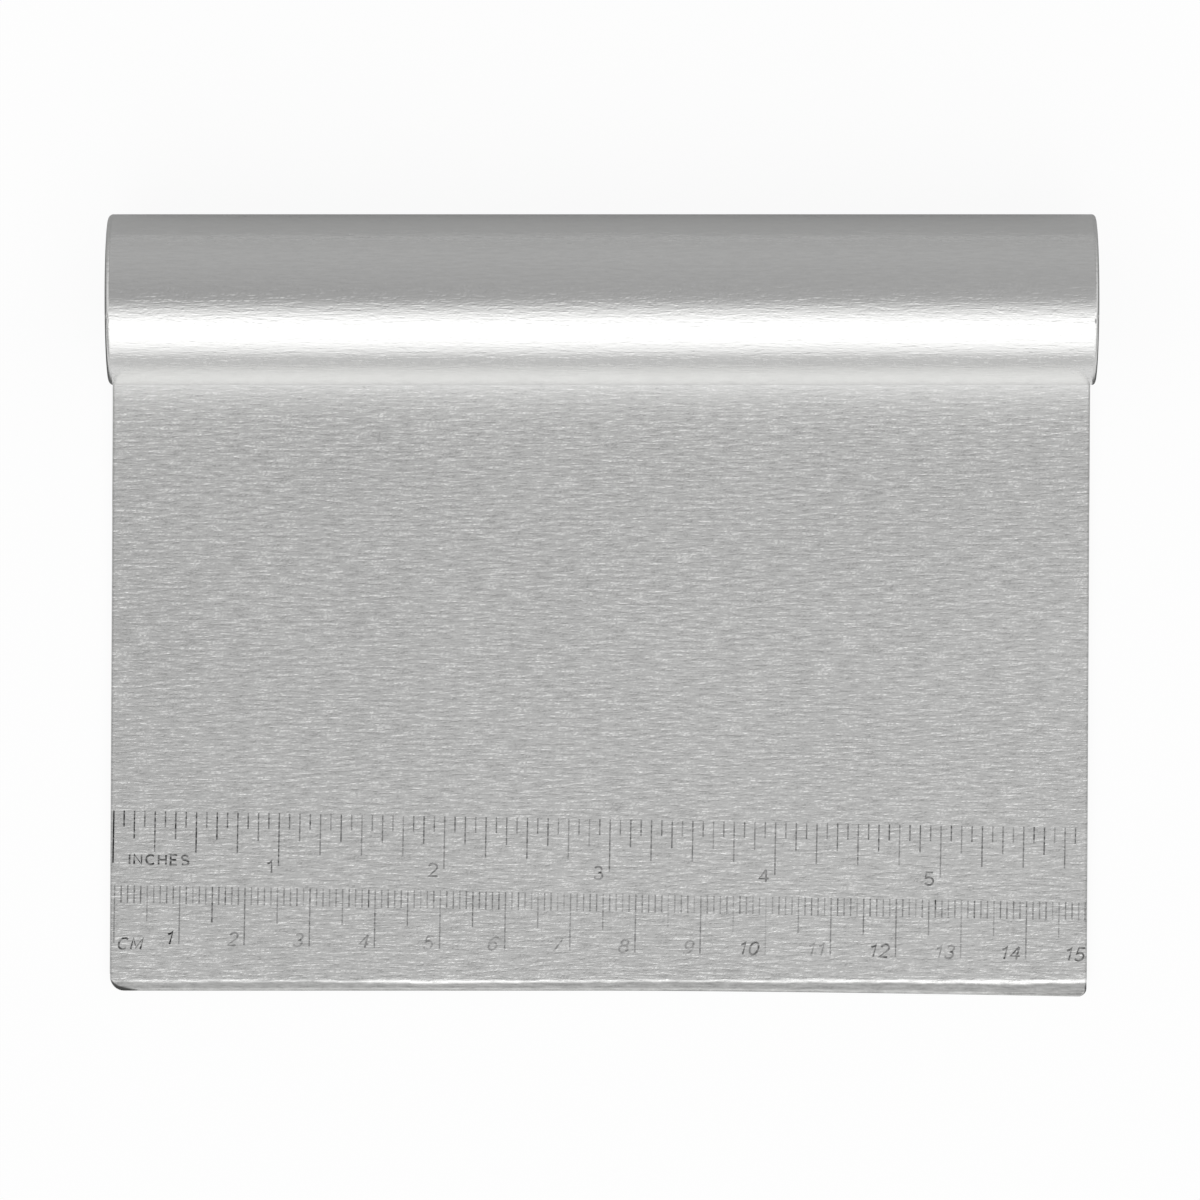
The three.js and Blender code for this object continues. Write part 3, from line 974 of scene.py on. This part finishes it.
def flat_stage(name, low, high, z):
    """A flat sheet for the stage between two corners, facing up."""
    x, y = np.meshgrid([low[0], high[0]], [low[1], high[1]])
    points = np.stack([x, y, np.full(x.shape, z)], axis=-1).reshape(-1, 3)
    quad = np.array([[0, 1, 3, 2]])
    sheet = new_piece(name, points, [quad], [points[quad][..., :2]])
    return sheet


floor = flat_stage("floor", (-FLOOR_HALF, -FLOOR_HALF), (FLOOR_HALF, FLOOR_HALF), -FLOOR_DROP)
# Plain white, with a soft shadow under the handle.
paper, tree = new_material("white_paper")
matt = add_node(tree, "ShaderNodeBsdfDiffuse", None, {"Color": linear(PAPER)})
glow = add_node(tree, "ShaderNodeEmission", None, {"Color": linear(WHITE), "Strength": 1.0})
rays = add_node(tree, "ShaderNodeLightPath").outputs
seen = add_node(tree, "ShaderNodeMath", {"operation": "ADD"}, {
    0: rays["Is Camera Ray"], 1: rays["Is Glossy Ray"]})
seen = add_node(tree, "ShaderNodeMath", {"operation": "ADD", "use_clamp": True}, {
    0: seen.outputs[0], 1: rays["Is Transmission Ray"]})
share = add_node(tree, "ShaderNodeMath", {"operation": "MULTIPLY"}, {
    0: seen.outputs[0], 1: PAPER_OWN_LIGHT})
mixed = add_node(tree, "ShaderNodeMixShader", None, {
    "Fac": share.outputs[0], 1: matt.outputs[0], 2: glow.outputs[0]})
add_node(tree, "ShaderNodeOutputMaterial", None, {"Surface": mixed.outputs[0]})
floor.data.materials.append(paper)

# %% The cards
BACK_SHADE_GREY = "#C1C1C1"
FRONT_SHADE_GREY = "#EAEAEA"
SIDE_SHADE_GREY = "#6E6E6E"
CARD_FRONT = 0.015
CARD_REACH = 0.4
CARD_DEPTH = 0.7
CARD_OFF = 1 * MM
SIDE_CARD_OFF = 0.5 * MM
CARD_HEIGHT = 0.2 * MM
SIDE_CARD_HEIGHT = -0.02 * MM
behind_y = tube_high.y + CARD_OFF
before_y = edge_y - CARD_OFF
beside_x = cap_high.x + SIDE_CARD_OFF
far_y = behind_y + CARD_DEPTH
near_y = edge_y - CARD_DEPTH
cards = {
    "back_card": (BACK_SHADE_GREY, (-CARD_REACH, behind_y), (CARD_REACH, far_y), CARD_HEIGHT),
    "front_card": (FRONT_SHADE_GREY, (-CARD_REACH, near_y), (CARD_REACH, before_y), CARD_HEIGHT),
    "left_card": (SIDE_SHADE_GREY, (-CARD_REACH, CARD_FRONT), (-beside_x, behind_y), SIDE_CARD_HEIGHT),
    "right_card": (SIDE_SHADE_GREY, (beside_x, CARD_FRONT), (CARD_REACH, behind_y), SIDE_CARD_HEIGHT),
}
# Each card is painted shade that only reflections see.
for name, (colour, low, high, z) in cards.items():
    card = flat_stage(name, low, high, z)
    card.visible_camera = False
    card.visible_diffuse = False
    card.visible_shadow = False
    card_paper, tree = new_material(name + "_paper")
    matt = add_node(tree, "ShaderNodeBsdfDiffuse", None, {"Color": linear(colour)})
    add_node(tree, "ShaderNodeOutputMaterial", None, {"Surface": matt.outputs[0]})
    card.data.materials.append(card_paper)
print("%d cards that only reflections see" % len(cards))

# %% [markdown]
# ## The light
# The light is one large softbox over the scraping edge, in a grey room that is paler overhead.
# It is made in the world, as a brightness for each direction, so there is no lamp that another
# view could catch in its frame. The softbox follows the angle from straight up, towards the
# scraping edge, and fades out to either side. Beside it the room follows the height alone.
# Straight overhead the room is a little paler to the right, which the flat blade shows as a
# slow change from side to side. The levels are set so that white paper renders white and
# colours render about as written.

# %% The light's levels
# Degrees from straight up towards the scraping edge, and the brightness there.
LIGHT_STOPS = [
    (-180, 0.52), (-90, 0.52), (-62, 0.57), (-36, 0.54), (-10, 0.51), (3, 0.535),
    (27, 1.43), (34, 1.72), (54, 1.72), (60, 1.55), (65.5, 1.46), (72, 1.28),
    (78.5, 1.1), (86, 0.75), (90, 0.64), (100, 0.55), (180, 0.52)]
# The height of a direction, one being straight up, and the room's brightness there.
ROOM_STOPS = [(0.0, 0.52), (0.3, 0.6), (0.65, 1.05), (1.0, 1.05)]
FULL_LIGHT = 2.0
light_curve = [(0.5 + degrees / 360, level / FULL_LIGHT) for degrees, level in LIGHT_STOPS]
room_curve = [(height, level / FULL_LIGHT) for height, level in ROOM_STOPS]
print("brightest light %.2f" % max(level for degrees, level in LIGHT_STOPS))

# %% The world
# Where the softbox starts to fade to the side, and where it is gone.
SOFTBOX_SIDES = (0.3, 0.6)
# Where the paler right side comes in overhead, and how much paler it is.
OVERHEAD = (0.9, 1.0)
PALER_RIGHT = 1.0
world = bpy.data.worlds.new("softbox_room")
bpy.context.scene.world = world
world.use_nodes = True
tree = world.node_tree
tree.nodes.clear()
direction = add_node(tree, "ShaderNodeTexCoord").outputs["Generated"]
part = add_node(tree, "ShaderNodeSeparateXYZ", None, {0: direction}).outputs
towards_edge = add_node(tree, "ShaderNodeMath", {"operation": "MULTIPLY"}, {0: part[1], 1: -1.0})
angle = add_node(tree, "ShaderNodeMath", {"operation": "ARCTAN2"}, {
    0: towards_edge.outputs[0], 1: part[2]})
turn_share = add_node(tree, "ShaderNodeMapRange", None, {
    "Value": angle.outputs[0], "From Min": -math.pi, "From Max": math.pi})
levels = []
for value, curve in ((turn_share.outputs[0], light_curve), (part[2], room_curve)):
    ramp = add_node(tree, "ShaderNodeValToRGB", None, {"Fac": value})
    elements = ramp.color_ramp.elements
    elements[0].position = curve[0][0]
    elements[1].position = curve[-1][0]
    for place, level in curve[1:-1]:
        elements.new(place)
    for element, (place, level) in zip(elements, curve):
        element.color = (level, level, level, 1)
    levels.append(ramp.outputs[0])
sideways = add_node(tree, "ShaderNodeMath", {"operation": "ABSOLUTE"}, {0: part[0]})
beside = add_node(tree, "ShaderNodeMapRange", {"interpolation_type": "SMOOTHSTEP"}, {
    "Value": sideways.outputs[0], "From Min": SOFTBOX_SIDES[0], "From Max": SOFTBOX_SIDES[1]})
light = add_node(tree, "ShaderNodeMix", None, {
    "Factor": beside.outputs[0], 2: levels[0], 3: levels[1]})
overhead = add_node(tree, "ShaderNodeMapRange", {"interpolation_type": "SMOOTHSTEP"}, {
    "Value": part[2], "From Min": OVERHEAD[0], "From Max": OVERHEAD[1],
    "To Max": PALER_RIGHT * FULL_LIGHT})
full = add_node(tree, "ShaderNodeMath", {"operation": "MULTIPLY_ADD"}, {
    0: part[0], 1: overhead.outputs[0], 2: FULL_LIGHT})
strength = add_node(tree, "ShaderNodeMath", {"operation": "MULTIPLY"}, {
    0: light.outputs[0], 1: full.outputs[0]})
sky = add_node(tree, "ShaderNodeBackground", None, {
    "Color": linear(WHITE), "Strength": strength.outputs[0]})
add_node(tree, "ShaderNodeOutputWorld", None, {"Surface": sky.outputs[0]})
bpy.context.scene.view_settings.view_transform = "Standard"
print("the world's light has %d nodes" % len(tree.nodes))

# %% [markdown]
# ## The camera
# The view looks straight down with a long lens from about a metre and a half. The lens
# follows from the width of the picture at the blade's face. The camera stands a little off the
# scraper's middle, as the scraper lies in the picture.

# %% The camera
CAMERA_HEIGHT = 1.45
PICTURE_WIDTH = 184.2 * MM
CAMERA_PLACE = np.array([-0.29, 0.78]) * MM
SENSOR_WIDTH = 36
lens = bpy.data.cameras.new("camera")
lens.sensor_width = SENSOR_WIDTH
lens.lens = SENSOR_WIDTH * (CAMERA_HEIGHT - BLADE_GAUGE) / PICTURE_WIDTH
camera = bpy.data.objects.new("camera", lens)
camera.location = (*CAMERA_PLACE, CAMERA_HEIGHT)
bpy.context.scene.collection.objects.link(camera)
bpy.context.scene.camera = camera
print("lens of %.0f mm" % lens.lens)
